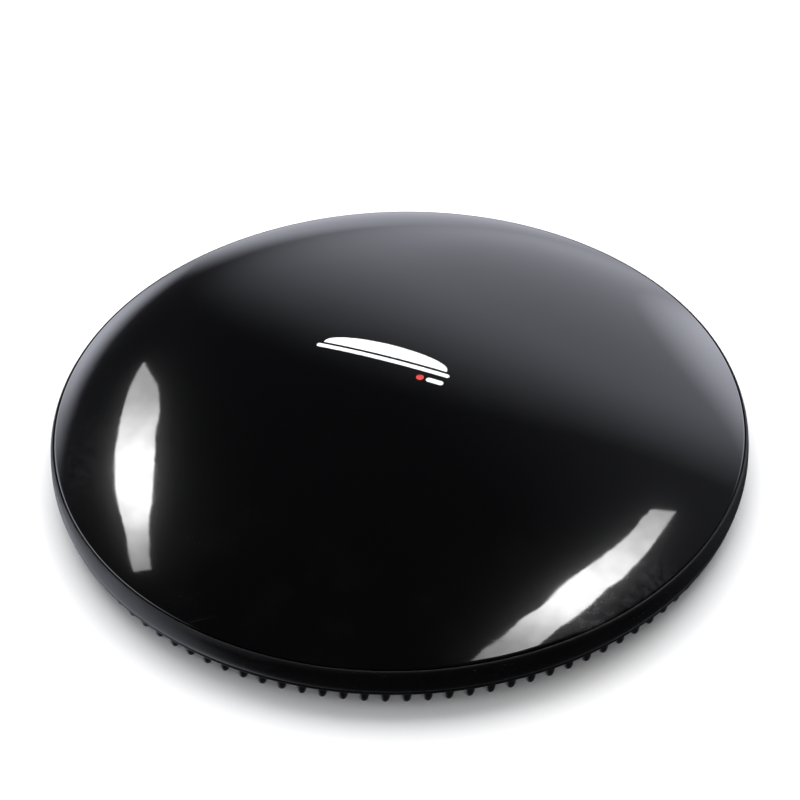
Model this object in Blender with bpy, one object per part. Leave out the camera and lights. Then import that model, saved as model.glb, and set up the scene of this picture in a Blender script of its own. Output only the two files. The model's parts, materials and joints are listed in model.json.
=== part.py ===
"""An inflatable wobble cushion: a round PVC air bladder that a person sits, kneels or stands on.

Metres, +Z up. The origin is on the floor under the centre of the disc, the valve is at the back, towards +Y,
and everything but the valve is round about Z.

The real bladder is one moulding. It is modelled as the zones that a person can point at: a nubbed bottom
shell, the parting lip round it, a rounded rim band, and a domed top skin above a fine crease. The top skin is
four concentric zones with narrow gaps, because the air under it lets it sink and tilt: the edge zone stays
with the rim, the shoulder sinks, the middle ring also tilts about X, and the crown also tilts about Y.
"""

import math

import bmesh
import bpy
from mathutils import Vector
from mathutils.geometry import delaunay_2d_cdt

# The whole cushion
RIM_RADIUS = 0.165
SEGMENTS = 64
GAP = 0.0003

# The bottom shell: a plate with hollow-looking cones that the cushion stands on
NUB_HEIGHT = 0.0091
PLATE_THICKNESS = 0.0030
PLATE_RADIUS = 0.1592
FLANGE_RADIUS = 0.1626
FLANGE_THICKNESS = 0.0009
PLATE_CHAMFER = 0.0060
NUB_ROOT_RADIUS = 0.0029
NUB_TIP_RADIUS = 0.0013
NUB_SIDES = 6
RIM_NUB_COUNT = 108
RIM_NUB_RING_RADIUS = 0.1588
INNER_NUB_PITCH = 0.020
CENTRE_PAD_RADIUS = 0.010
CENTRE_PAD_SIDES = 24

# The rim: a parting lip, and the rounded band above it, up to the crease
LIP_RADIUS = 0.1640
LIP_HEIGHT = 0.0015
BAND_INNER_RADIUS = 0.1618
BAND_FOOT_RADIUS = 0.1636
BAND_WIDEST_HEIGHT = 0.0150
BAND_ROUNDNESS = 2.2
BAND_QUARTER_STEPS = 3

# The domed top skin
CREASE_RADIUS = 0.1630
CREASE_HEIGHT = 0.0233
DOME_RISE = 0.0379
DOME_FLATNESS = 0.3
SKIN = 0.0035
EDGE_SKIN = 0.0012
SHOULDER_OUTER = 0.140
MIDDLE_OUTER = 0.103
CROWN_OUTER = 0.067
ZONE_GAP = 0.0006
CREASE_GROOVE = 0.0003

# The valve, set along a radius of the rim at the back
VALVE_DIRECTION = math.radians(120)
VALVE_HEIGHT = 0.0155
SLEEVE_RADIUS = 0.0024
SLEEVE_BORE = 0.0012
SLEEVE_INNER_END = 0.1555
SLEEVE_OUTER_END = 0.1632
CORE_RADIUS = 0.0009
CORE_LENGTH = 0.0030
PLUG_STEM_RADIUS = 0.0009
PLUG_STEM_LENGTH = 0.0042
PLUG_HEAD_RADIUS = 0.0024
PLUG_HEAD_THICKNESS = 0.0011
VALVE_SIDES = 24


def clear_scene():
    for obj in list(bpy.data.objects):
        bpy.data.objects.remove(obj, do_unlink=True)


def principled(name, colour, roughness, metallic=0.0, coat=0.0):
    material = bpy.data.materials.new(name)
    material.use_nodes = True
    shader = material.node_tree.nodes["Principled BSDF"]
    shader.inputs["Base Color"].default_value = (*colour, 1.0)
    shader.inputs["Roughness"].default_value = roughness
    shader.inputs["Metallic"].default_value = metallic
    shader.inputs["Coat Weight"].default_value = coat
    material.diffuse_color = (*colour, 1.0)
    return material


def gloss_skin():
    return principled("gloss_skin", (0.008, 0.008, 0.010), 0.16, coat=0.4)


def moulded_base():
    return principled("moulded_base", (0.010, 0.010, 0.011), 0.34)


def valve_rubber():
    return principled("valve_rubber", (0.014, 0.014, 0.015), 0.55)


def plug_plastic():
    return principled("plug_plastic", (0.020, 0.020, 0.022), 0.30)


def make_object(name, mesh_builder, material, location=(0, 0, 0), parent=None):
    """One object from a filled bmesh given in its own coordinates. location is in world coordinates."""
    mesh = bpy.data.meshes.new(name)
    bmesh.ops.recalc_face_normals(mesh_builder, faces=mesh_builder.faces)
    mesh_builder.to_mesh(mesh)
    mesh_builder.free()
    mesh.materials.append(material)
    mesh.shade_smooth()
    mesh.set_sharp_from_angle(angle=math.radians(35))
    obj = bpy.data.objects.new(name, mesh)
    bpy.context.scene.collection.objects.link(obj)
    obj.parent = parent
    obj.location = Vector(location) - (Vector(parent["pivot"]) if parent else Vector())
    obj["pivot"] = tuple(location)
    return obj


def turned(profile, segments, pivot_height=0.0):
    """A closed loop of (radius, height) points spun about Z. A profile that starts and ends on the axis
    closes there, and any other makes a ring."""
    builder = bmesh.new()
    verts = [builder.verts.new((radius, 0, height - pivot_height)) for radius, height in profile]
    closed_on_axis = profile[0][0] == 0 and profile[-1][0] == 0
    pairs = list(zip(verts, verts[1:]))
    if not closed_on_axis:
        pairs.append((verts[-1], verts[0]))
    edges = [builder.edges.new(pair) for pair in pairs]
    bmesh.ops.spin(
        builder,
        geom=verts + edges,
        cent=(0, 0, 0),
        axis=(0, 0, 1),
        angle=2 * math.pi,
        steps=segments,
        use_merge=True,
    )
    bmesh.ops.remove_doubles(builder, verts=builder.verts, dist=1e-7)
    return builder


def dome_height(radius):
    """The top skin's outer surface: a parabola with a fourth-power share, so that its shoulder is fuller."""
    share = radius / CREASE_RADIUS
    fall = (1 - DOME_FLATNESS) * share**2 + DOME_FLATNESS * share**4
    return CREASE_HEIGHT + DOME_RISE * (1 - fall)


def skin_thickness(radius):
    """The skin thins towards the crease, where it leaves room for the valve."""
    thin_from = CREASE_RADIUS - 0.010
    share = min(max((radius - thin_from) / (CREASE_RADIUS - thin_from), 0), 1)
    return SKIN + (EDGE_SKIN - SKIN) * share


def zone_profile(inner, outer, steps):
    """The cross-section of a zone of the top skin, round from its inner edge over the outer surface."""
    radii = [inner + (outer - inner) * step / steps for step in range(steps + 1)]
    over = [(radius, dome_height(radius)) for radius in radii]
    under = [(radius, dome_height(radius) - skin_thickness(radius)) for radius in reversed(radii)]
    return over + under


def edge_middle_height(radius):
    """Half-way through the skin, where a tilting zone's pivot lies."""
    return dome_height(radius) - skin_thickness(radius) / 2


def make_top_skin(material):
    """The four zones of the top, each inside the last and moving with it."""
    make_object(
        "top_skin_edge", turned(zone_profile(SHOULDER_OUTER + ZONE_GAP, CREASE_RADIUS, 3), SEGMENTS), material
    )
    shoulder_pivot = (0, 0, edge_middle_height(SHOULDER_OUTER))
    shoulder = make_object(
        "top_skin_shoulder",
        turned(zone_profile(MIDDLE_OUTER + ZONE_GAP, SHOULDER_OUTER, 3), SEGMENTS, shoulder_pivot[2]),
        material,
        shoulder_pivot,
    )
    middle_pivot = (0, 0, edge_middle_height(MIDDLE_OUTER))
    middle = make_object(
        "top_skin_middle",
        turned(zone_profile(CROWN_OUTER + ZONE_GAP, MIDDLE_OUTER, 3), SEGMENTS, middle_pivot[2]),
        material,
        middle_pivot,
        shoulder,
    )
    crown_pivot = (0, 0, edge_middle_height(CROWN_OUTER))
    crown_profile = zone_profile(0.0, CROWN_OUTER, 4)
    make_object(
        "top_skin_crown", turned(crown_profile, SEGMENTS, crown_pivot[2]), material, crown_pivot, middle
    )


def quarter(start_radius, end_radius, start_height, end_height, steps):
    """Points of a superellipse's quarter, from its widest point at the start to its end."""
    points = []
    for step in range(steps + 1):
        angle = math.pi / 2 * step / steps
        across = math.cos(angle) ** (2 / BAND_ROUNDNESS)
        up = math.sin(angle) ** (2 / BAND_ROUNDNESS)
        radius = end_radius + (start_radius - end_radius) * across
        points.append((radius, start_height + (end_height - start_height) * up))
    return points


def band_profile():
    """A nearly upright wall with a seat for the skin's edge in its upper, inner corner."""
    foot = NUB_HEIGHT + FLANGE_THICKNESS + GAP
    top = CREASE_HEIGHT - CREASE_GROOVE
    edge = CREASE_RADIUS + GAP
    seat = CREASE_HEIGHT - EDGE_SKIN - GAP
    upper = quarter(RIM_RADIUS, edge + CREASE_GROOVE, BAND_WIDEST_HEIGHT, top, BAND_QUARTER_STEPS)
    lower = quarter(RIM_RADIUS, BAND_FOOT_RADIUS, BAND_WIDEST_HEIGHT, foot, BAND_QUARTER_STEPS)
    outer = list(reversed(upper)) + lower[1:]
    return outer + [(BAND_INNER_RADIUS, foot), (BAND_INNER_RADIUS, seat), (edge, seat), (edge, top)]


def radial_frame(obj, along):
    """Lays an object whose axis is its own +Z along the valve's radius, this far out."""
    out = Vector((math.cos(VALVE_DIRECTION), math.sin(VALVE_DIRECTION), 0))
    obj.location = out * along + Vector((0, 0, VALVE_HEIGHT))
    obj.rotation_euler = out.to_track_quat("Z", "Y").to_euler()
    return obj


def valve_hole_cutter():
    """The round hole that the sleeve sits in, as a cutter that isn't part of the cushion."""
    radius = SLEEVE_RADIUS + GAP
    half = 0.006
    profile = [(0, half), (radius, half), (radius, -half), (0, -half)]
    cutter = make_object("valve_hole_cutter", turned(profile, VALVE_SIDES), valve_rubber())
    cutter.hide_render = True
    cutter.display_type = "WIRE"
    return radial_frame(cutter, (BAND_INNER_RADIUS + RIM_RADIUS) / 2)


def make_rim(material):
    band = make_object("rim_band", turned(band_profile(), SEGMENTS), material)
    hole = band.modifiers.new("valve_hole", "BOOLEAN")
    hole.operation = "DIFFERENCE"
    hole.object = valve_hole_cutter()
    top = NUB_HEIGHT + FLANGE_THICKNESS
    inner = FLANGE_RADIUS + GAP
    middle = top - LIP_HEIGHT / 2
    lip = [
        (inner, top),
        (LIP_RADIUS - LIP_HEIGHT / 4, top),
        (LIP_RADIUS, middle),
        (LIP_RADIUS - LIP_HEIGHT / 4, top - LIP_HEIGHT),
        (inner, top - LIP_HEIGHT),
    ]
    make_object("parting_lip", turned(lip, SEGMENTS), material)


def circle_points(centre, radius, sides, turn=0.0):
    angles = [turn + 2 * math.pi * side / sides for side in range(sides)]
    return [Vector((centre[0] + radius * math.cos(a), centre[1] + radius * math.sin(a))) for a in angles]


def nub_places():
    """The rim's ring of nubs, then rings of wider pitch inside it, each with the angle it faces."""
    rings = [(RIM_NUB_RING_RADIUS, RIM_NUB_COUNT)]
    radius = RIM_NUB_RING_RADIUS - INNER_NUB_PITCH
    while radius > CENTRE_PAD_RADIUS + INNER_NUB_PITCH / 2 - NUB_ROOT_RADIUS:
        rings.append((radius, round(2 * math.pi * radius / INNER_NUB_PITCH)))
        radius -= INNER_NUB_PITCH
    places = []
    for radius, count in rings:
        for step in range(count):
            angle = 2 * math.pi * step / count
            places.append((radius * math.cos(angle), radius * math.sin(angle), angle))
    return places


def make_bottom_shell(material):
    """A plate whose underside is triangulated round the nubs' roots, with each root drawn down to a tip."""
    feet = [(x, y, turn, NUB_ROOT_RADIUS, NUB_TIP_RADIUS, NUB_SIDES) for x, y, turn in nub_places()]
    feet.append((0, 0, 0, CENTRE_PAD_RADIUS, CENTRE_PAD_RADIUS * 0.9, CENTRE_PAD_SIDES))
    loops = [circle_points((0, 0), FLANGE_RADIUS, SEGMENTS)]
    loops += [circle_points((x, y), root, sides, turn) for x, y, turn, root, _, sides in feet]
    points, edges = [], []
    for loop in loops:
        first = len(points)
        points += loop
        edges += [(first + i, first + (i + 1) % len(loop)) for i in range(len(loop))]
    flat_points, _, flat_faces, *_ = delaunay_2d_cdt(points, edges, [], 1, 1e-7)

    builder = bmesh.new()
    root_verts = [builder.verts.new((p.x, p.y, NUB_HEIGHT)) for p in flat_points]
    for face in flat_faces:
        middle = sum((flat_points[i] for i in face), Vector((0, 0))) / len(face)
        if all(math.hypot(middle.x - f[0], middle.y - f[1]) > f[3] * math.cos(math.pi / f[5]) for f in feet):
            builder.faces.new([root_verts[i] for i in face])
    for x, y, turn, root, tip, sides in feet:
        draw_foot(builder, (x, y), turn, root, tip, sides)
    flange_top = NUB_HEIGHT + FLANGE_THICKNESS
    plate_top = NUB_HEIGHT + PLATE_THICKNESS
    steps = [
        (FLANGE_RADIUS, NUB_HEIGHT),
        (FLANGE_RADIUS, flange_top),
        (PLATE_RADIUS, flange_top),
        (PLATE_RADIUS - PLATE_CHAMFER, plate_top),
    ]
    rings = [[builder.verts.new((*p, height)) for p in circle_points((0, 0), radius, SEGMENTS)]
             for radius, height in steps]
    for lower, upper in zip(rings, rings[1:]):
        bridge(builder, lower, upper)
    builder.faces.new(rings[-1])
    bmesh.ops.remove_doubles(builder, verts=builder.verts, dist=1e-6)
    return make_object("bottom_shell", builder, material)


def bridge(builder, lower, upper):
    count = len(lower)
    for i in range(count):
        j = (i + 1) % count
        builder.faces.new((lower[i], lower[j], upper[j], upper[i]))


def draw_foot(builder, centre, turn, root, tip, sides):
    """The cone from a root on the plate down to a flat tip on the floor."""
    top = [builder.verts.new((*p, NUB_HEIGHT)) for p in circle_points(centre, root, sides, turn)]
    end = [builder.verts.new((*p, 0)) for p in circle_points(centre, tip, sides, turn)]
    bridge(builder, top, end)
    builder.faces.new(end)


def make_valve(sleeve_material, core_material, plug_material):
    """A needle valve: a sleeve in the rim, a self-sealing core in its inner end, and a stopper whose head
    lies inside the band, flush with the rim."""
    length = SLEEVE_OUTER_END - SLEEVE_INNER_END
    sleeve = [(SLEEVE_BORE, length), (SLEEVE_RADIUS, length), (SLEEVE_RADIUS, 0), (SLEEVE_BORE, 0)]
    radial_frame(make_object("valve_sleeve", turned(sleeve, VALVE_SIDES), sleeve_material), SLEEVE_INNER_END)
    core = [(0, CORE_LENGTH), (CORE_RADIUS, CORE_LENGTH), (CORE_RADIUS, 0), (0, 0)]
    radial_frame(make_object("valve_core", turned(core, VALVE_SIDES), core_material), SLEEVE_INNER_END)
    head_foot = GAP
    head_top = head_foot + PLUG_HEAD_THICKNESS
    plug = [
        (0, head_top),
        (PLUG_HEAD_RADIUS * 0.8, head_top),
        (PLUG_HEAD_RADIUS, head_foot + PLUG_HEAD_THICKNESS / 2),
        (PLUG_HEAD_RADIUS, head_foot),
        (PLUG_STEM_RADIUS, head_foot),
        (PLUG_STEM_RADIUS, -PLUG_STEM_LENGTH),
        (0, -PLUG_STEM_LENGTH),
    ]
    radial_frame(make_object("valve_plug", turned(plug, VALVE_SIDES), plug_material), SLEEVE_OUTER_END)


def main():
    clear_scene()
    skin = gloss_skin()
    base = moulded_base()
    make_bottom_shell(base)
    make_rim(skin)
    make_top_skin(skin)
    make_valve(valve_rubber(), valve_rubber(), plug_plastic())


main()
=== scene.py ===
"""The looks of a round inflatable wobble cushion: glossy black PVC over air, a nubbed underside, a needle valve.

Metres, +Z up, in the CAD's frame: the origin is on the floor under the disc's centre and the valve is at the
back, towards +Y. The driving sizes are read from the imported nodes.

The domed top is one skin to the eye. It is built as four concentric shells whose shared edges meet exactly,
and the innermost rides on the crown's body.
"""

import json
import math

import bmesh
import bpy
import numpy as np
from mathutils import Matrix, Vector, noise
from mathutils.geometry import delaunay_2d_cdt


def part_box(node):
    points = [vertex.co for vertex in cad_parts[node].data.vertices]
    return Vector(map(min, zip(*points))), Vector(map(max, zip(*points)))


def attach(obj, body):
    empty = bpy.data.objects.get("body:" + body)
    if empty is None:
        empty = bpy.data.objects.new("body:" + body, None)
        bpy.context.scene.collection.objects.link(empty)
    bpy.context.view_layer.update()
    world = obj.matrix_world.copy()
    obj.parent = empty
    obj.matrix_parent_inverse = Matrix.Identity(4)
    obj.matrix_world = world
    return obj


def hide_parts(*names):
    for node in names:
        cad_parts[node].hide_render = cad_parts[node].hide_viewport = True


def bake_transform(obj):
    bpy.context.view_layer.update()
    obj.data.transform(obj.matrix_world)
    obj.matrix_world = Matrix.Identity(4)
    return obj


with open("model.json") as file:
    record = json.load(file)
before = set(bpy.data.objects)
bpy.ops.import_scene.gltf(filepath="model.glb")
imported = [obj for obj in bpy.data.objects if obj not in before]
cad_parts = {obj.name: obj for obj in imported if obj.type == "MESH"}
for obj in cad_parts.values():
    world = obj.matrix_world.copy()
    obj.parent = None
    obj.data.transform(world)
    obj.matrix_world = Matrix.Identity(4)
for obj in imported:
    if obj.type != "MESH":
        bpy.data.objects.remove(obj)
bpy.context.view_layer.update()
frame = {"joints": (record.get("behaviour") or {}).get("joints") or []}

# Sizes read from the frame
RIM_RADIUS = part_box("rim_band")[1].x
BAND_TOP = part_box("rim_band")[1].z
BAND_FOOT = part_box("rim_band")[0].z
CREASE_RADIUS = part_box("top_skin_edge")[1].x
TOP_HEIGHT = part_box("top_skin_crown")[1].z
ZONE_OUTERS = [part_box(node)[1].x for node in ("top_skin_shoulder", "top_skin_middle", "top_skin_crown")]
LIP_BOTTOM, LIP_TOP = (corner.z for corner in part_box("parting_lip"))
LIP_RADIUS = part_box("parting_lip")[1].x
PLATE_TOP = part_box("bottom_shell")[1].z
FLANGE_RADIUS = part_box("bottom_shell")[1].x

# Sizes that the CAD shares
CREASE_HEIGHT = BAND_TOP + 0.0003
DOME_RISE = TOP_HEIGHT - CREASE_HEIGHT
DOME_FLATNESS = 0.3
FLANGE_THICKNESS = 0.0009
NUB_HEIGHT = LIP_TOP - FLANGE_THICKNESS
BAND_INNER_RADIUS = 0.1618
BAND_FOOT_RADIUS = 0.1636
BAND_WIDEST_HEIGHT = 0.0150
BAND_ROUNDNESS = 2.2
PLATE_RADIUS = 0.1592
PLATE_CHAMFER = 0.006
VALVE_HEIGHT = 0.0155
SLEEVE_RADIUS = 0.0024
SLEEVE_BORE = 0.0012
SLEEVE_ENDS = (0.1555, 0.1632)
CORE_RADIUS = 0.0009
CORE_LENGTH = 0.003
PLUG_STEM_RADIUS = 0.0009
PLUG_STEM_LENGTH = 0.0042
PLUG_HEAD_RADIUS = 0.0024
PLUG_HEAD_THICKNESS = 0.0011
GAP = 0.0003

# The top skin: a thin shell, slightly uneven, that rolls down into the crease
SEGMENTS = 360
SKIN = 0.001
SKIN_STEP = 0.0015
UNDERSIDE_STEP = 0.006
SEAM_STEP = 0.0001
EDGE_ROLL_WIDTH = 0.0005
EDGE_ROLL_DROP = 0.0005
CREASE_HALF_GAP = 0.0003
UNEVEN_LAYERS = ((0.045, 0.000060, 3.1), (0.017, 0.000010, 8.7))
UNEVEN_FADE = 0.006

# The rim: the rounded band outside the crease, and the bead where the mould's halves met
BAND_STEPS = 14
GROOVE_FLOOR = CREASE_HEIGHT - 0.0012
GROOVE_SHELF_RADIUS = 0.1575
SHELF_THICKNESS = 0.0006

# The underside: rings of bullet-shaped nubs
RIM_NUB_COUNT = 108
RIM_NUB_RING_RADIUS = 0.1588
INNER_NUB_PITCH = 0.020
CENTRE_PAD_RADIUS = 0.010
NUB_SIDES = 20
PAD_SIDES = 48
# (radius, height share) down a nub, from its fillet on the plate to its rounded tip
NUB_PROFILE = (
    (0.00302, 1.00),
    (0.00292, 0.97),
    (0.00285, 0.92),
    (0.00278, 0.82),
    (0.00262, 0.62),
    (0.00238, 0.40),
    (0.00208, 0.23),
    (0.00172, 0.11),
    (0.00122, 0.035),
    (0.00060, 0.006),
)

# The printed mark: a dome over a bar, a dash and a dot, lying aslant on the crown
PRINT_CENTRE = (-0.0058, 0.0022)
PRINT_TURN = math.radians(-24)
PRINT_LIFT = 0.00006
PRINT_DEPTH = 0.00012
PRINT_GRID = 0.002
MARK_DOME = (0.062, 0.0080)
MARK_BAR = (0.067, 0.0024)
MARK_GAP = 0.0014
MARK_DASH = (0.0085, 0.0028)
MARK_DASH_PLACE = (0.0285, -0.0083)
MARK_DOT_RADIUS = 0.0018
MARK_DOT_PLACE = (0.0212, -0.0083)

# Colours
PVC_BLACK = (0.0006, 0.0006, 0.0007)

# Where dust clings most to the top skin: the middle, the distances where it starts to fade and is gone, its share
DUSTY_PATCHES = (
    ((0.082, -0.135, 0.026), 0.006, 0.024, 0.16),
    ((0.107, -0.117, 0.026), 0.004, 0.022, 0.10),
    ((-0.139, -0.035, 0.034), 0.008, 0.034, 0.035),
)

# The camera, which looks down from the front on a point near the crease's centre
CAMERA_TARGET_HEIGHT = 0.020
CAMERA_DISTANCE = 1.3
CAMERA_ELEVATION = math.radians(41.35)
CAMERA_ROLL = math.radians(-1.52)
CAMERA_LENS = 123.42
SENSOR_WIDTH = 36
CAMERA_AIM_RIGHT = 0.00044
CAMERA_AIM_UP = 0.01158

# The lights. A softbox is rows of its lower edge's and its upper edge's azimuth and elevation in degrees,
# and its brightness there
SOFTBOX_DISTANCE = 8.0
SOFTBOX_STEPS = 6
SOFTBOX_RAGGED = 0.35
LEFT_SOFTBOX = (
    (-28.5, 19.5, -28.5, 20.5, 4.5),
    (-34.5, 24.0, -32.0, 30.5, 6.0),
    (-42.0, 29.5, -39.0, 37.0, 14.0),
    (-50.0, 34.0, -48.0, 42.0, 22.0),
    (-59.0, 39.0, -58.5, 45.0, 18.0),
    (-66.0, 41.5, -65.5, 46.0, 10.0),
    (-75.0, 43.5, -74.5, 47.0, 5.5),
)
RIGHT_SOFTBOX = (
    (62.0, 41.0, 60.0, 46.0, 7.5),
    (66.0, 44.0, 64.5, 50.0, 10.0),
    (79.5, 52.0, 74.5, 58.0, 20.0),
    (89.0, 56.5, 84.0, 63.5, 25.0),
    (99.0, 59.7, 97.0, 66.7, 23.0),
    (110.0, 62.0, 110.0, 69.0, 14.0),
    (122.0, 63.5, 124.0, 69.5, 8.0),
    (132.0, 65.0, 136.0, 70.0, 6.0),
    (146.0, 68.3, 148.0, 69.0, 3.5),
)
# A glow is the azimuth and elevation of its middle, the angles where it starts to fade and is gone, and its
# brightness
WALL_GLOW = ((22, 12), (19, 40), 1.1)
WALL_SKIRT = ((55, 10), (25, 62), 0.13)
LOW_GLOW = ((40, 0), (8, 30), 2.6)
BACK_GLOW = ((4, -20), (12, 26), 0.78)
ROOM_DARK = 0.03
ROOM_TINT = (0.97, 0.99, 1.12)
FLOOR_BRIGHT = (0.65, 2.2)
FLOOR_NEAR = 0.3
CAMERA_SEES = 0.95


# Meshes


def dome_height(radius):
    """The CAD's own curve: a parabola with a fourth-power share, so that its shoulder is fuller."""
    share = radius / CREASE_RADIUS
    return CREASE_HEIGHT + DOME_RISE * (1 - (1 - DOME_FLATNESS) * share**2 - DOME_FLATNESS * share**4)


def unevenness(x, y):
    """How far the moulded skin stands off its true curve, fading to nothing at the crease."""
    lift = sum(
        height * noise.noise(Vector((x / size, y / size, seed))) for size, height, seed in UNEVEN_LAYERS
    )
    fade = min(max((CREASE_RADIUS - math.hypot(x, y)) / UNEVEN_FADE, 0), 1)
    return lift * fade * fade * (3 - 2 * fade)


def skin_height(x, y):
    radius = math.hypot(x, y)
    return dome_height(radius) + unevenness(x, y)


def circle(radius, height, sides=SEGMENTS, centre=(0, 0), turn=0.0):
    """A level loop of points, or its centre alone where the radius is nothing."""
    if radius == 0:
        return np.array([(*centre, height)])
    angles = turn + np.arange(sides) * 2 * math.pi / sides
    x, y = centre[0] + radius * np.cos(angles), centre[1] + radius * np.sin(angles)
    return np.column_stack((x, y, np.full(sides, height)))


def loft(loops, closed):
    """The points and faces of a surface through these loops. A loop of one point closes with triangles."""
    starts = np.cumsum([0] + [len(loop) for loop in loops])
    pairs = list(zip(range(len(loops)), range(1, len(loops))))
    if closed:
        pairs.append((len(loops) - 1, 0))
    faces = []
    for a, b in pairs:
        count = max(len(loops[a]), len(loops[b]))
        for i in range(count):
            j = (i + 1) % count
            near = [starts[a] + i, starts[a] + j] if len(loops[a]) > 1 else [starts[a]]
            far = [starts[b] + j, starts[b] + i] if len(loops[b]) > 1 else [starts[b]]
            faces.append(near + far)
    return np.concatenate(loops), faces


def make_piece(name, points, faces, material, sharp=35):
    """An object from one closed surface, with outward normals, smooth but for its real edges."""
    mesh = bpy.data.meshes.new(name)
    mesh.from_pydata([tuple(p) for p in points], [], [tuple(int(i) for i in face) for face in faces])
    builder = bmesh.new()
    builder.from_mesh(mesh)
    bmesh.ops.remove_doubles(builder, verts=builder.verts, dist=1e-7)
    bmesh.ops.recalc_face_normals(builder, faces=builder.faces)
    builder.to_mesh(mesh)
    builder.free()
    mesh.shade_smooth()
    mesh.set_sharp_from_angle(angle=math.radians(sharp))
    mesh.materials.append(material)
    piece = bpy.data.objects.new(name, mesh)
    bpy.context.scene.collection.objects.link(piece)
    return piece


def spaced(start, end, step):
    """Values from start to end, evenly spaced at about this step."""
    return list(np.linspace(start, end, max(2, round(abs(end - start) / step) + 1)))


def skin_loop(radius, drop=0.0):
    """A loop of the top skin's outer surface, or of its underside a given drop below."""
    loop = circle(radius, 0.0)
    if radius == 0:
        loop[0, 2] = skin_height(0, 0) - drop
        return loop
    loop[:, 2] = [skin_height(x, y) - drop for x, y, _ in loop]
    return loop


def rolled_edge_loops():
    """The skin's outermost loops, which curl down into the crease."""
    start = CREASE_RADIUS - CREASE_HALF_GAP - EDGE_ROLL_WIDTH
    loops = []
    for angle in np.linspace(math.pi / 2, 0, 9):
        share = math.sin(angle)
        loops.append(skin_loop(start + EDGE_ROLL_WIDTH * share, EDGE_ROLL_DROP * (1 - math.cos(angle))))
    return loops, start


def skin_shell(name, outer, inner, material):
    """One concentric zone of the skin. Narrow cells along its seams keep the shading the same on both sides."""
    over = []
    if outer is None:
        over, outer = rolled_edge_loops()
        outer -= SKIN_STEP / 3
        under_outer = CREASE_RADIUS - CREASE_HALF_GAP
    else:
        over = [skin_loop(outer)]
        outer -= SEAM_STEP
        under_outer = outer + SEAM_STEP
    inner_stop = inner + SEAM_STEP if inner else SKIN_STEP
    over += [skin_loop(radius) for radius in spaced(outer, inner_stop, SKIN_STEP)]
    over.append(skin_loop(inner))
    under = [skin_loop(radius, SKIN) for radius in spaced(inner, under_outer, UNDERSIDE_STEP)]
    if not inner:
        return make_piece(name, *loft(over + under, closed=True), material)
    return make_piece(name, *loft(over + under, closed=True), material)


def superellipse(start, end, power, steps):
    """Points (radius, height) along a quarter from its upright start to its level end."""
    points = []
    for angle in np.linspace(0, math.pi / 2, steps + 1):
        across, up = math.cos(angle) ** (2 / power), math.sin(angle) ** (2 / power)
        points.append((end[0] + (start[0] - end[0]) * across, start[1] + (end[1] - start[1]) * up))
    return points


def turned_piece(name, profile, material, sides=SEGMENTS, sharp=35):
    """A closed profile of (radius, height) turned about Z."""
    loops = [circle(radius, height, sides) for radius, height in profile]
    return make_piece(name, *loft(loops, closed=True), material, sharp)


def band_profile():
    widest = (RIM_RADIUS, BAND_WIDEST_HEIGHT)
    crease_side = (CREASE_RADIUS + 1.3 * CREASE_HALF_GAP, BAND_TOP)
    upper = superellipse(widest, crease_side, BAND_ROUNDNESS, BAND_STEPS)
    lower = superellipse(widest, (BAND_FOOT_RADIUS, BAND_FOOT), BAND_ROUNDNESS, BAND_STEPS)
    groove_side = CREASE_RADIUS + CREASE_HALF_GAP
    roll = superellipse((groove_side, GROOVE_FLOOR + 0.0003), crease_side, 2, 6)[:-1]
    shelf = [
        (GROOVE_SHELF_RADIUS, GROOVE_FLOOR - SHELF_THICKNESS),
        (GROOVE_SHELF_RADIUS, GROOVE_FLOOR),
        (groove_side - 0.0002, GROOVE_FLOOR),
    ]
    inside = [(BAND_INNER_RADIUS, BAND_FOOT), (BAND_INNER_RADIUS, GROOVE_FLOOR - SHELF_THICKNESS)]
    return shelf + roll + list(reversed(upper)) + lower[1:] + inside


def lip_profile():
    """A small bead, rounded outwards."""
    middle, half = (LIP_BOTTOM + LIP_TOP) / 2, (LIP_TOP - LIP_BOTTOM) / 2
    inner = FLANGE_RADIUS + GAP
    nose = inner + (LIP_RADIUS - inner) * 0.35
    top = superellipse((LIP_RADIUS, middle), (nose, middle + half), 2.3, 8)
    bottom = superellipse((LIP_RADIUS, middle), (nose, middle - half), 2.3, 8)
    return [(inner, middle + half)] + list(reversed(top)) + bottom[1:] + [(inner, middle - half)]


def nub_places():
    """The rim's ring of nubs, then rings of wider pitch inside it, each with the angle it faces."""
    rings = [(RIM_NUB_RING_RADIUS, RIM_NUB_COUNT)]
    radius = RIM_NUB_RING_RADIUS - INNER_NUB_PITCH
    while radius > CENTRE_PAD_RADIUS + INNER_NUB_PITCH / 2 - NUB_PROFILE[0][0]:
        rings.append((radius, round(2 * math.pi * radius / INNER_NUB_PITCH)))
        radius -= INNER_NUB_PITCH
    places = []
    for radius, count in rings:
        for angle in np.arange(count) * 2 * math.pi / count:
            places.append((radius * math.cos(angle), radius * math.sin(angle), angle))
    return places


def foot_loops(centre, turn, profile, sides):
    """A nub or the centre pad, from its root on the plate down to the floor."""
    return [circle(radius, NUB_HEIGHT * share, sides, centre, turn) for radius, share in profile]


def pad_profile():
    """The centre pad: flat where it stands on the floor, with a moulded ring sunk into it."""
    r = CENTRE_PAD_RADIUS
    return (
        (r, 1.0),
        (r * 0.975, 0.95),
        (r * 0.96, 0.6),
        (r * 0.94, 0.2),
        (r * 0.92, 0.05),
        (r * 0.89, 0.0),
        (r * 0.66, 0.0),
        (r * 0.63, 0.06),
        (r * 0.57, 0.06),
        (r * 0.54, 0.0),
        (0.0, 0.0),
    )


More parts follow.
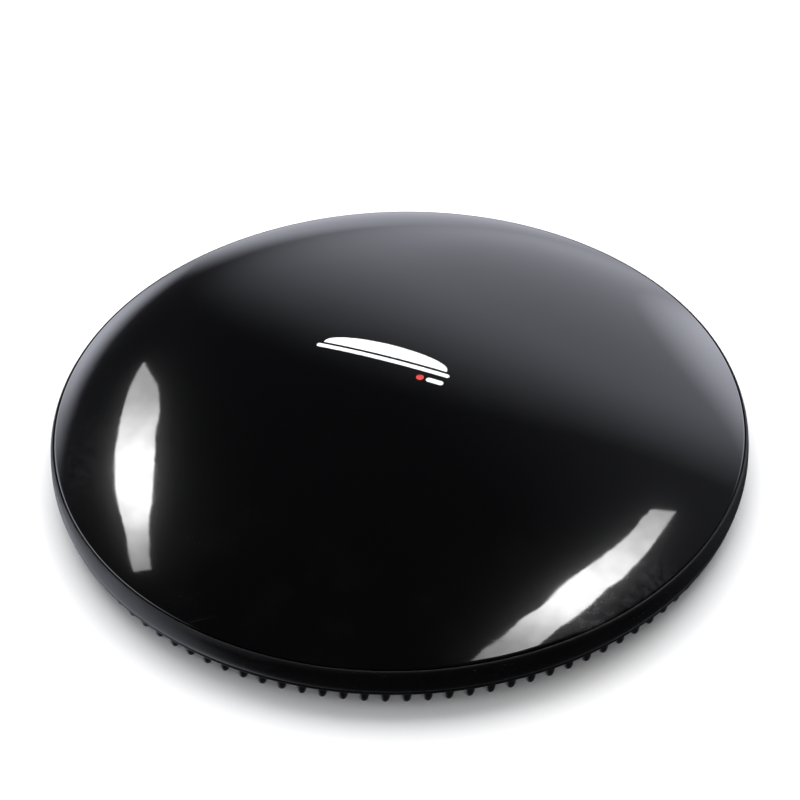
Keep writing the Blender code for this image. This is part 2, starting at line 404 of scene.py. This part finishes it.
def underside_faces(feet):
    """The plate's flat underside round the feet's roots, as points and triangles."""
    points, edges = [], []
    for loop in [circle(FLANGE_RADIUS, 0)] + [foot[0] for foot in feet]:
        first = len(points)
        points += [Vector(p[:2]) for p in loop]
        edges += [(first + i, first + (i + 1) % len(loop)) for i in range(len(loop))]
    flat, _, faces, *_ = delaunay_2d_cdt(points, edges, [], 1, 1e-7)
    flat = np.array([(p.x, p.y, NUB_HEIGHT) for p in flat])
    centres = np.array([foot[0].mean(0)[:2] for foot in feet])
    reach = np.array([np.hypot(*(foot[0][0] - foot[0].mean(0))[:2]) for foot in feet])
    kept = []
    for face in faces:
        middle = flat[list(face)].mean(0)[:2]
        if (np.hypot(*(centres - middle).T) > reach * math.cos(math.pi / NUB_SIDES)).all():
            kept.append(list(face))
    return flat, kept


def make_bottom_shell(material):
    nub = list(NUB_PROFILE) + [(0.0, 0.0)]
    feet = [foot_loops((x, y), turn, nub, NUB_SIDES) for x, y, turn in nub_places()]
    feet.append(foot_loops((0, 0), 0.0, pad_profile(), PAD_SIDES))
    points, faces = underside_faces(feet)
    parts = [(points, faces)] + [loft(foot, closed=False) for foot in feet]
    flange_top = NUB_HEIGHT + FLANGE_THICKNESS
    top = [
        (FLANGE_RADIUS, NUB_HEIGHT),
        (FLANGE_RADIUS, flange_top),
        (PLATE_RADIUS, flange_top),
        (PLATE_RADIUS - PLATE_CHAMFER, PLATE_TOP),
        (0.0, PLATE_TOP),
    ]
    parts.append(loft([circle(radius, height) for radius, height in top], closed=False))
    all_points, all_faces, first = [], [], 0
    for points, faces in parts:
        all_points.append(points)
        all_faces += [[first + int(i) for i in face] for face in faces]
        first += len(points)
    return make_piece("nubbed_bottom", np.concatenate(all_points), all_faces, material, sharp=50)


# The valve


def valve_frame():
    """Lays a piece that is turned about its own Z along the stopper's line of travel, at the valve's height."""
    joint = next(j for j in frame["joints"] if j["name"] == "plug_pull")
    out = Vector(joint["axis"]).normalized()
    return Matrix.Translation((0, 0, VALVE_HEIGHT)) @ out.to_track_quat("Z", "Y").to_matrix().to_4x4()


def valve_piece(name, profile, material, sides=48, sharp=30):
    piece = turned_piece(name, profile, material, sides, sharp)
    piece.data.transform(valve_frame())
    return piece


def sleeve_profile():
    inner, outer = SLEEVE_ENDS
    soft = 0.0003
    return [
        (SLEEVE_BORE + soft, outer),
        (SLEEVE_RADIUS - soft, outer),
        (SLEEVE_RADIUS - soft * 0.3, outer - soft * 0.3),
        (SLEEVE_RADIUS, outer - soft),
        (SLEEVE_RADIUS, inner),
        (SLEEVE_BORE, inner),
        (SLEEVE_BORE, outer - soft),
        (SLEEVE_BORE + soft * 0.3, outer - soft * 0.3),
    ]


def core_profile():
    """A self-sealing plug of soft rubber, dished where the needle goes in."""
    inner, outer = SLEEVE_ENDS[0], SLEEVE_ENDS[0] + CORE_LENGTH
    return [
        (0.0, outer - 0.0004),
        (CORE_RADIUS * 0.3, outer - 0.0003),
        (CORE_RADIUS * 0.75, outer),
        (CORE_RADIUS, outer - 0.0001),
        (CORE_RADIUS, inner),
        (0.0, inner),
    ]


def plug_profile():
    """A stopper with a rounded head, a shallow ring in its face and a stem with a retaining rib."""
    foot = SLEEVE_ENDS[1] + GAP
    top = foot + PLUG_HEAD_THICKNESS
    head, stem, end = PLUG_HEAD_RADIUS, PLUG_STEM_RADIUS, SLEEVE_ENDS[1] - PLUG_STEM_LENGTH
    return [
        (0.0, top - 0.00025),
        (head * 0.34, top - 0.00025),
        (head * 0.42, top),
        (head * 0.72, top),
        (head * 0.90, top - 0.00012),
        (head * 0.98, top - 0.00032),
        (head, top - 0.0006),
        (head * 0.97, foot + 0.0001),
        (head * 0.93, foot),
        (stem, foot),
        (stem * 0.9, foot - 0.0004),
        (stem * 0.9, end + 0.0017),
        (stem, end + 0.0013),
        (stem, end + 0.0009),
        (stem * 0.9, end + 0.0005),
        (stem * 0.6, end + 0.0001),
        (0.0, end),
    ]


def cut_valve_hole(band, material):
    """The round hole through the band for the sleeve, cut and applied."""
    reach = 0.008
    middle = (BAND_INNER_RADIUS + RIM_RADIUS) / 2
    profile = [(0.0, middle + reach), (SLEEVE_RADIUS + GAP, middle + reach),
               (SLEEVE_RADIUS + GAP, middle - reach), (0.0, middle - reach)]
    cutter = valve_piece("valve_cutter", profile, material)
    hole = band.modifiers.new("valve_hole", "BOOLEAN")
    hole.object = cutter
    hole.solver = "EXACT"
    bpy.context.view_layer.update()
    cut = bpy.data.meshes.new_from_object(band.evaluated_get(bpy.context.evaluated_depsgraph_get()))
    band.modifiers.clear()
    band.data = cut
    bpy.data.objects.remove(cutter, do_unlink=True)
    return band


# The printed mark


def print_point(u, v):
    """A point of the mark, from its own axes to where it lies on the crown."""
    cos, sin = math.cos(PRINT_TURN), math.sin(PRINT_TURN)
    return PRINT_CENTRE[0] + u * cos - v * sin, PRINT_CENTRE[1] + u * sin + v * cos


def divided(outline):
    """The same outline with no stretch longer than the print's grid."""
    points = []
    for (u0, v0), (u1, v1) in zip(outline, outline[1:] + outline[:1]):
        count = max(1, math.ceil(math.hypot(u1 - u0, v1 - v0) / PRINT_GRID))
        points += [(u0 + (u1 - u0) * i / count, v0 + (v1 - v0) * i / count) for i in range(count)]
    return points


def printed_shape(name, outline, material):
    """A thin layer of ink that follows the skin inside this outline."""
    outline = divided(outline)
    edges = [(i, (i + 1) % len(outline)) for i in range(len(outline))]
    low, high = np.min(outline, 0), np.max(outline, 0)
    grid = [
        (u, v)
        for u in np.arange(low[0] + PRINT_GRID, high[0], PRINT_GRID)
        for v in np.arange(low[1] + PRINT_GRID, high[1], PRINT_GRID)
        if inside(u, v, outline)
    ]
    points = [Vector(p) for p in list(outline) + grid]
    flat, _, faces, *_ = delaunay_2d_cdt(points, edges, [], 1, 1e-7)
    placed = [print_point(p.x, p.y) for p in flat]
    top = [(x, y, skin_height(x, y) + PRINT_LIFT) for x, y in placed]
    bottom = [(x, y, z - PRINT_DEPTH) for x, y, z in top]
    count = len(top)
    used = {}
    for face in faces:
        for a, b in zip(face, list(face[1:]) + [face[0]]):
            used[(a, b)] = True
    rim = [(a, b) for a, b in used if (b, a) not in used]
    walls = [(b, a, a + count, b + count) for a, b in rim]
    under = [tuple(i + count for i in reversed(face)) for face in faces]
    return make_piece(name, top + bottom, [tuple(face) for face in faces] + under + walls, material)


def inside(u, v, outline):
    """Whether a point is inside an outline by a clear margin."""
    margin = PRINT_GRID * 0.3
    crossings = 0
    for (u0, v0), (u1, v1) in zip(outline, outline[1:] + outline[:1]):
        length = math.hypot(u1 - u0, v1 - v0)
        along = max(0, min(1, ((u - u0) * (u1 - u0) + (v - v0) * (v1 - v0)) / length**2))
        if math.hypot(u - u0 - along * (u1 - u0), v - v0 - along * (v1 - v0)) < margin:
            return False
        if (v0 > v) != (v1 > v) and u < u0 + (v - v0) * (u1 - u0) / (v1 - v0):
            crossings += 1
    return crossings % 2 == 1


def round_bar(centre, width, height):
    """The outline of a bar with round ends."""
    radius = height / 2
    ends = []
    for side in (1, -1):
        for a in np.linspace(-math.pi / 2, math.pi / 2, 9):
            across = width / 2 - radius + radius * math.cos(a)
            ends.append((centre[0] + side * across, centre[1] + side * radius * math.sin(a)))
    return ends


def mark_shapes():
    """The mark's outlines: a shallow dome, a bar under it, a dash and a dot."""
    width, height = MARK_DOME
    arch = [(width / 2 * math.cos(a), height * math.sin(a) ** 0.8) for a in np.linspace(0, math.pi, 61)]
    bar = round_bar((0, -MARK_GAP - MARK_BAR[1] / 2), *MARK_BAR)
    dash = round_bar(MARK_DASH_PLACE, *MARK_DASH)
    (x, y), r = MARK_DOT_PLACE, MARK_DOT_RADIUS
    dot = [(x + r * math.cos(a), y + r * math.sin(a)) for a in np.arange(32) * 2 * math.pi / 32]
    return {"mark_dome": arch, "mark_bar": bar, "mark_dash": dash, "mark_dot": dot}


# Materials


def new_material(name, colour, roughness, **sockets):
    material = bpy.data.materials.new(name)
    material.use_nodes = True
    shader = material.node_tree.nodes["Principled BSDF"]
    shader.inputs["Base Color"].default_value = (*colour, 1)
    shader.inputs["Roughness"].default_value = roughness
    for socket, value in sockets.items():
        shader.inputs[socket.replace("_", " ")].default_value = value
    return material, material.node_tree.nodes, material.node_tree.links, shader


def noise_node(nodes, links, scale, detail=2.0, source=None):
    """Noise over the piece's own coordinates, which are the frame's."""
    texture = nodes.new("ShaderNodeTexNoise")
    texture.inputs["Scale"].default_value = scale
    texture.inputs["Detail"].default_value = detail
    if source is None:
        source = nodes.new("ShaderNodeTexCoord").outputs["Object"]
    links.new(source, texture.inputs["Vector"])
    return texture.outputs["Fac"]


def mapped(nodes, links, value, low, high, to_low=0.0, to_high=1.0):
    """A value remapped and clamped."""
    node = nodes.new("ShaderNodeMapRange")
    for socket, number in zip(("From Min", "From Max", "To Min", "To Max"), (low, high, to_low, to_high)):
        node.inputs[socket].default_value = number
    links.new(value, node.inputs["Value"])
    return node.outputs["Result"]


def math_node(nodes, links, operation, first, second):
    node = nodes.new("ShaderNodeMath")
    node.operation = operation
    for socket, value in zip(node.inputs, (first, second)):
        if isinstance(value, (int, float)):
            socket.default_value = value
        else:
            links.new(value, socket)
    return node.outputs[0]


def mixed(nodes, links, factor, first, second):
    """Two colours mixed by a factor."""
    node = nodes.new("ShaderNodeMix")
    node.data_type = "RGBA"
    links.new(factor, node.inputs[0])
    for socket, value in ((node.inputs[6], first), (node.inputs[7], second)):
        if isinstance(value, tuple):
            socket.default_value = (*value, 1)
        else:
            links.new(value, socket)
    return node.outputs[2]


def bumped(nodes, links, shader, height, distance, strength=1.0, after=None):
    node = nodes.new("ShaderNodeBump")
    node.inputs["Strength"].default_value = strength
    node.inputs["Distance"].default_value = distance
    links.new(height, node.inputs["Height"])
    if after is not None:
        links.new(after, node.inputs["Normal"])
    links.new(node.outputs["Normal"], shader.inputs["Normal"])
    return node.outputs["Normal"]


def scratches(nodes, links, scale, turn, share):
    """Fine straight hairlines in one direction, in patches, from a stretched noise."""
    mapping = nodes.new("ShaderNodeMapping")
    mapping.inputs["Rotation"].default_value = (0, 0, turn)
    mapping.inputs["Scale"].default_value = (1.0, 42.0, 1.0)
    links.new(nodes.new("ShaderNodeTexCoord").outputs["Object"], mapping.inputs["Vector"])
    lines = noise_node(nodes, links, scale, 1.0, mapping.outputs["Vector"])
    sharp = mapped(nodes, links, lines, 0.70, 0.76)
    patches = mapped(nodes, links, noise_node(nodes, links, 24, 1.0), 0.62 - share, 0.72 - share)
    return math_node(nodes, links, "MULTIPLY", sharp, patches)


def patch(nodes, links, centre, inner, outer, strength):
    """A round patch on the surface, which fades from this strength to nothing between two distances."""
    node = nodes.new("ShaderNodeVectorMath")
    node.operation = "DISTANCE"
    node.inputs[1].default_value = centre
    links.new(nodes.new("ShaderNodeTexCoord").outputs["Object"], node.inputs[0])
    return mapped(nodes, links, node.outputs["Value"], inner, outer, strength, 0.0)


def gloss_skin_material():
    """Soft PVC, polished by its mould: fine unevenness, with hairline scratches and dust towards the rim."""
    material, nodes, links, shader = new_material(
        "gloss_pvc", PVC_BLACK, 0.06, Specular_IOR_Level=0.5, IOR=1.5, Coat_Weight=0.12, Coat_Roughness=0.2
    )
    broad = noise_node(nodes, links, 60, 3)
    fine = noise_node(nodes, links, 900, 2)
    worn = mapped(nodes, links, broad, 0.35, 0.75, 0.035, 0.06)
    distance = nodes.new("ShaderNodeVectorMath")
    distance.operation = "LENGTH"
    links.new(nodes.new("ShaderNodeTexCoord").outputs["Object"], distance.inputs[0])
    handled = mapped(nodes, links, distance.outputs["Value"], 0.105, 0.14)
    lines = math_node(
        nodes, links, "MAXIMUM", scratches(nodes, links, 22, 0.5, 0.05), scratches(nodes, links, 30, -0.9, 0.0)
    )
    lines = math_node(nodes, links, "MULTIPLY", lines, handled)
    roughness = math_node(nodes, links, "ADD", worn, math_node(nodes, links, "MULTIPLY", lines, 0.12))
    links.new(roughness, shader.inputs["Roughness"])
    specks = mapped(nodes, links, noise_node(nodes, links, 1500, 0), 0.78, 0.84)
    cloud = mapped(nodes, links, noise_node(nodes, links, 35, 2), 0.5, 0.8)
    cloud = math_node(nodes, links, "MULTIPLY", cloud, handled)
    dust = math_node(nodes, links, "MULTIPLY", specks, cloud)
    film = math_node(nodes, links, "MULTIPLY", cloud, 0.006)
    dirt = math_node(nodes, links, "ADD", math_node(nodes, links, "MULTIPLY", dust, 0.16), film)
    dirt = math_node(nodes, links, "ADD", dirt, math_node(nodes, links, "MULTIPLY", lines, 0.015))
    mottle = mapped(nodes, links, noise_node(nodes, links, 320, 4), 0.36, 0.7)
    for place in DUSTY_PATCHES:
        haze = math_node(nodes, links, "MULTIPLY", mottle, patch(nodes, links, *place))
        dirt = math_node(nodes, links, "ADD", dirt, haze)
    links.new(mixed(nodes, links, dirt, PVC_BLACK, (0.16, 0.16, 0.17)), shader.inputs["Base Color"])
    first = bumped(nodes, links, shader, broad, 0.00002)
    bumped(nodes, links, shader, fine, 0.0000008, 1.0, first)
    return material


def rim_skin_material():
    """The same PVC on the rim band, duller where hands hold it and most along the crease."""
    material, nodes, links, shader = new_material(
        "rim_pvc", PVC_BLACK, 0.3, Specular_IOR_Level=0.5, IOR=1.5
    )
    broad = noise_node(nodes, links, 45, 3)
    axes = nodes.new("ShaderNodeSeparateXYZ")
    links.new(nodes.new("ShaderNodeTexCoord").outputs["Object"], axes.inputs[0])
    duller = mapped(nodes, links, axes.outputs["Z"], BAND_TOP - 0.003, BAND_TOP - 0.0005, 0.0, 0.3)
    roughness = math_node(nodes, links, "ADD", mapped(nodes, links, broad, 0.3, 0.75, 0.24, 0.36), duller)
    links.new(roughness, shader.inputs["Roughness"])
    specks = mapped(nodes, links, noise_node(nodes, links, 1300, 0), 0.78, 0.86, 0, 0.25)
    links.new(mixed(nodes, links, specks, PVC_BLACK, (0.12, 0.12, 0.125)), shader.inputs["Base Color"])
    bumped(nodes, links, shader, noise_node(nodes, links, 300, 3), 0.000006)
    return material


def moulded_base_material():
    """Satin moulded PVC with a fine grain, dulled on the tips that touch the floor."""
    material, nodes, links, shader = new_material("moulded_pvc", (0.0025, 0.0025, 0.0028), 0.36)
    grain = noise_node(nodes, links, 2600, 2)
    broad = noise_node(nodes, links, 70, 3)
    links.new(mapped(nodes, links, broad, 0.3, 0.75, 0.3, 0.44), shader.inputs["Roughness"])
    height = nodes.new("ShaderNodeSeparateXYZ")
    links.new(nodes.new("ShaderNodeTexCoord").outputs["Object"], height.inputs[0])
    tip = mapped(nodes, links, height.outputs["Z"], 0.0016, 0.0, 0.0, 1.0)
    scuffed = math_node(nodes, links, "MULTIPLY", tip, mapped(nodes, links, noise_node(nodes, links, 500, 3), 0.4, 0.7))
    links.new(mixed(nodes, links, scuffed, (0.0025, 0.0025, 0.0028), (0.014, 0.014, 0.0145)), shader.inputs["Base Color"])
    bumped(nodes, links, shader, grain, 0.00001)
    return material


def plain_moulding(name, dark, light, roughness, grain):
    """A small moulded part: mottled colour, uneven gloss and a fine grain."""
    material, nodes, links, shader = new_material(name, dark, roughness[0])
    broad = noise_node(nodes, links, 400, 3)
    links.new(mixed(nodes, links, mapped(nodes, links, broad, 0.35, 0.7), dark, light), shader.inputs["Base Color"])
    links.new(mapped(nodes, links, broad, 0.3, 0.7, *roughness), shader.inputs["Roughness"])
    bumped(nodes, links, shader, noise_node(nodes, links, 4000, 2), grain)
    return material


def ink_material(name, colour, worn_colour):
    """Screen-printed ink: slightly uneven in cover, with a soft sheen."""
    material, nodes, links, shader = new_material(name, colour, 0.3)
    cover = mapped(nodes, links, noise_node(nodes, links, 700, 4), 0.36, 0.5)
    links.new(mixed(nodes, links, cover, worn_colour, colour), shader.inputs["Base Color"])
    links.new(mapped(nodes, links, noise_node(nodes, links, 300, 2), 0.3, 0.7, 0.22, 0.34), shader.inputs["Roughness"])
    bumped(nodes, links, shader, noise_node(nodes, links, 2200, 2), 0.000004)
    return material


# The cushion


def make_top_skin(skin):
    """The four shells of the top; the innermost rides on the crown's body."""
    shoulder, middle, crown = ZONE_OUTERS
    seams = [(shoulder + middle) / 2, (middle + crown) / 2, crown - (middle - crown) / 2]
    zones = (
        ("skin_edge", None, seams[0], "base", "shoulder", ("top_skin_edge", "top_skin_shoulder")),
        ("skin_shoulder", seams[0], seams[1], "shoulder", "middle", ("top_skin_middle",)),
        ("skin_middle", seams[1], seams[2], "middle", "crown", ("top_skin_crown",)),
    )
    for name, outer, inner, still, moving, nodes in zones:
        piece = skin_shell(name, outer, inner, skin)
        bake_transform(piece)
        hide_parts(*nodes)
    cap = skin_shell("skin_crown", seams[2], 0.0, skin)
    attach(cap, "crown")


def make_base():
    base = moulded_base_material()
    rim = rim_skin_material()
    band = cut_valve_hole(turned_piece("rim_band_skin", band_profile(), rim), rim)
    lip = turned_piece("parting_bead", lip_profile(), base)
    shell = make_bottom_shell(base)
    for piece, node, slot in (
        (band, "rim_band", "gloss_skin"),
        (lip, "parting_lip", "moulded_base"),
        (shell, "bottom_shell", "moulded_base"),
    ):
        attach(piece, "base")
        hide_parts(node)


def make_valve():
    rubber = plain_moulding("valve_rubber_moulding", (0.010, 0.010, 0.011), (0.02, 0.02, 0.021), (0.42, 0.6), 0.00001)
    plastic = plain_moulding("plug_moulding", (0.016, 0.016, 0.018), (0.03, 0.03, 0.032), (0.24, 0.36), 0.000006)
    for name, profile, material, body, node, slot in (
        ("valve_sleeve_moulded", sleeve_profile(), rubber, "base", "valve_sleeve", "valve_rubber"),
        ("valve_core_moulded", core_profile(), rubber, "base", "valve_core", "valve_rubber"),
        ("valve_stopper", plug_profile(), plastic, "plug", "valve_plug", "plug_plastic"),
    ):
        piece = valve_piece(name, profile, material)
        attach(piece, body)
        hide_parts(node)


def make_mark():
    white = ink_material("white_ink", (0.86, 0.86, 0.85), (0.6, 0.6, 0.6))
    red = ink_material("red_ink", (0.62, 0.03, 0.02), (0.4, 0.03, 0.025))
    for name, outline in mark_shapes().items():
        piece = printed_shape(name, outline, red if name == "mark_dot" else white)
        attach(piece, "crown")


# The studio


def make_floor():
    half = 6.0
    mesh = bpy.data.meshes.new("floor")
    mesh.from_pydata([(-half, -half, 0), (half, -half, 0), (half, half, 0), (-half, half, 0)], [], [(0, 1, 2, 3)])
    floor = bpy.data.objects.new("floor", mesh)
    floor.location.z = -0.00002
    bpy.context.scene.collection.objects.link(floor)
    material, *_ = new_material("white_floor", (0.9, 0.9, 0.9), 0.8)
    mesh.materials.append(material)
    floor.visible_glossy = False


def direction(azimuth, elevation):
    """A unit vector. Azimuth is in degrees from +Y towards +X."""
    a, e = math.radians(azimuth), math.radians(elevation)
    return Vector((math.sin(a) * math.cos(e), math.cos(a) * math.cos(e), math.sin(e)))


def area_light(name, place, target, size, power):
    """A soft light that reaches matt surfaces but isn't mirrored in the skin."""
    light = bpy.data.lights.new(name, "AREA")
    light.shape = "RECTANGLE"
    light.size, light.size_y = size
    light.energy = power
    obj = bpy.data.objects.new(name, light)
    bpy.context.scene.collection.objects.link(obj)
    obj.location = place
    obj.rotation_euler = (Vector(target) - Vector(place)).to_track_quat("-Z", "Y").to_euler()
    obj.visible_camera = False
    obj.visible_glossy = False


def smooth_rows(rows, steps):
    """Rows of numbers with others between them, along smooth curves through them."""
    rows = np.array(rows, float)
    ends = np.vstack((2 * rows[0] - rows[1], rows, 2 * rows[-1] - rows[-2]))
    out = []
    for a, b, c, d in zip(ends, ends[1:], ends[2:], ends[3:]):
        for t in np.arange(steps) / steps:
            out.append(b + 0.5 * t * (c - a + t * (2 * a - 5 * b + 4 * c - d + t * (3 * (b - c) + d - a))))
    return np.array(out + [rows[-1]])


def softbox_material():
    """Light through a slack white cloth, brightest where the lamp stands behind it."""
    material = bpy.data.materials.new("softbox_cloth")
    material.use_nodes = True
    nodes, links = material.node_tree.nodes, material.node_tree.links
    nodes.remove(nodes["Principled BSDF"])
    glow = nodes.new("ShaderNodeEmission")
    links.new(glow.outputs[0], nodes["Material Output"].inputs["Surface"])
    brightness = nodes.new("ShaderNodeAttribute")
    brightness.attribute_name = "brightness"
    folds = mapped(nodes, links, noise_node(nodes, links, 1.8, 2), 0.3, 0.7, 0.85, 1.1)
    links.new(math_node(nodes, links, "MULTIPLY", brightness.outputs["Fac"], folds), glow.inputs["Strength"])
    return material


def softbox(name, rows, material):
    """A curved strip of light round the cushion, which only the gloss mirrors."""
    rows = smooth_rows(rows, SOFTBOX_STEPS)
    points = []
    for i, row in enumerate(rows):
        for edge, (azimuth, elevation) in enumerate((row[:2], row[2:4])):
            ragged = SOFTBOX_RAGGED * noise.noise(Vector((i * 0.3, edge * 9.1, 2.6)))
            points.append(direction(azimuth, elevation + ragged) * SOFTBOX_DISTANCE)
    faces = [(2 * i, 2 * i + 1, 2 * i + 3, 2 * i + 2) for i in range(len(rows) - 1)]
    mesh = bpy.data.meshes.new(name)
    mesh.from_pydata(points, [], faces)
    mesh.materials.append(material)
    brightness = mesh.attributes.new("brightness", "FLOAT", "POINT")
    brightness.data.foreach_set("value", np.repeat(rows[:, 4], 2))
    panel = bpy.data.objects.new(name, mesh)
    bpy.context.scene.collection.objects.link(panel)
    panel.visible_camera = False
    panel.visible_diffuse = False
    panel.visible_shadow = False


def smooth_range(nodes, links, value, low, high, to_low, to_high):
    node = nodes.new("ShaderNodeMapRange")
    node.interpolation_type = "SMOOTHSTEP"
    for socket, number in zip(("From Min", "From Max", "To Min", "To Max"), (low, high, to_low, to_high)):
        node.inputs[socket].default_value = number
    links.new(value, node.inputs["Value"])
    return node.outputs["Result"]


def dot_node(nodes, links, ray, place):
    """The cosine of the angle between a ray and a direction given as azimuth and elevation."""
    node = nodes.new("ShaderNodeVectorMath")
    node.operation = "DOT_PRODUCT"
    links.new(ray, node.inputs[0])
    node.inputs[1].default_value = direction(*place)
    return node.outputs["Value"]


def glow_node(nodes, links, ray, place, angles, brightness):
    """How bright a round glow on the room's wall is in this direction."""
    angle = math_node(nodes, links, "ARCCOSINE", dot_node(nodes, links, ray, place), 0.0)
    inner, outer = (math.radians(a) for a in angles)
    return smooth_range(nodes, links, angle, outer, inner, 0.0, brightness)


def floor_node(nodes, links, ray):
    """The pale floor behind the cushion, which starts higher and is brighter towards the left."""
    axes = nodes.new("ShaderNodeSeparateXYZ")
    links.new(ray, axes.inputs[0])
    above = math_node(nodes, links, "ADD", math_node(nodes, links, "ADD", axes.outputs["Z"], axes.outputs["X"]), 0.34)
    light = smooth_range(nodes, links, above, 0.0, -0.12, 0.0, 1.0)
    for factor in (
        smooth_range(nodes, links, axes.outputs["X"], -0.18, -0.5, *FLOOR_BRIGHT),
        smooth_range(nodes, links, axes.outputs["Z"], -0.15, -0.5, 1.0, FLOOR_NEAR),
        smooth_range(nodes, links, dot_node(nodes, links, ray, (-20, 0)), -0.2, 0.3, 0.0, 1.0),
    ):
        light = math_node(nodes, links, "MULTIPLY", light, factor)
    return light


def make_world():
    """A pale room to the camera. In reflections it is dark, with a soft glow and the floor behind the cushion."""
    world = bpy.data.worlds.new("studio")
    bpy.context.scene.world = world
    world.use_nodes = True
    nodes, links = world.node_tree.nodes, world.node_tree.links
    ray = nodes.new("ShaderNodeTexCoord").outputs["Generated"]
    light = floor_node(nodes, links, ray)
    for glow in (WALL_GLOW, WALL_SKIRT, LOW_GLOW, BACK_GLOW):
        light = math_node(nodes, links, "MAXIMUM", light, glow_node(nodes, links, ray, *glow))
    light = math_node(nodes, links, "ADD", light, ROOM_DARK)
    tinted = nodes.new("ShaderNodeVectorMath")
    tinted.operation = "SCALE"
    tinted.inputs[0].default_value = ROOM_TINT
    links.new(light, tinted.inputs["Scale"])
    camera_ray = nodes.new("ShaderNodeLightPath").outputs["Is Camera Ray"]
    seen = mixed(nodes, links, camera_ray, tinted.outputs["Vector"], (CAMERA_SEES,) * 3)
    links.new(seen, nodes["Background"].inputs["Color"])


def make_lights():
    area_light("key_soft", (0.0, 1.15, 1.6), (0, 0, 0), (3.0, 2.0), 68)
    area_light("top_soft", (0.0, 0.0, 2.4), (0, 0, 0), (3.0, 3.0), 29)
    area_light("front_fill", (0.0, -1.6, 0.9), (0, 0, 0), (2.5, 1.2), 11)
    cloth = softbox_material()
    softbox("left_softbox", LEFT_SOFTBOX, cloth)
    softbox("right_softbox", RIGHT_SOFTBOX, cloth)


def make_camera():
    target = Vector((0, 0, CAMERA_TARGET_HEIGHT))
    back = Vector((0, -math.cos(CAMERA_ELEVATION), math.sin(CAMERA_ELEVATION)))
    right = Vector((1, 0, 0))
    up = right.cross(-back)
    right, up = (
        right * math.cos(CAMERA_ROLL) + up * math.sin(CAMERA_ROLL),
        up * math.cos(CAMERA_ROLL) - right * math.sin(CAMERA_ROLL),
    )
    place = target + back * CAMERA_DISTANCE
    look = (target + right * CAMERA_AIM_RIGHT + up * CAMERA_AIM_UP - place).normalized()
    right = (right - look * right.dot(look)).normalized()
    up = right.cross(look)
    camera = bpy.data.cameras.new("camera")
    camera.lens = CAMERA_LENS
    camera.sensor_width = SENSOR_WIDTH
    obj = bpy.data.objects.new("camera", camera)
    obj.matrix_world = Matrix.Translation(place) @ Matrix((right, up, -look)).transposed().to_4x4()
    bpy.context.scene.collection.objects.link(obj)
    bpy.context.scene.camera = obj


def main():
    make_base()
    make_top_skin(gloss_skin_material())
    make_valve()
    make_mark()
    make_floor()
    make_world()
    make_lights()
    make_camera()
    bpy.context.scene.view_settings.view_transform = "Standard"


main()
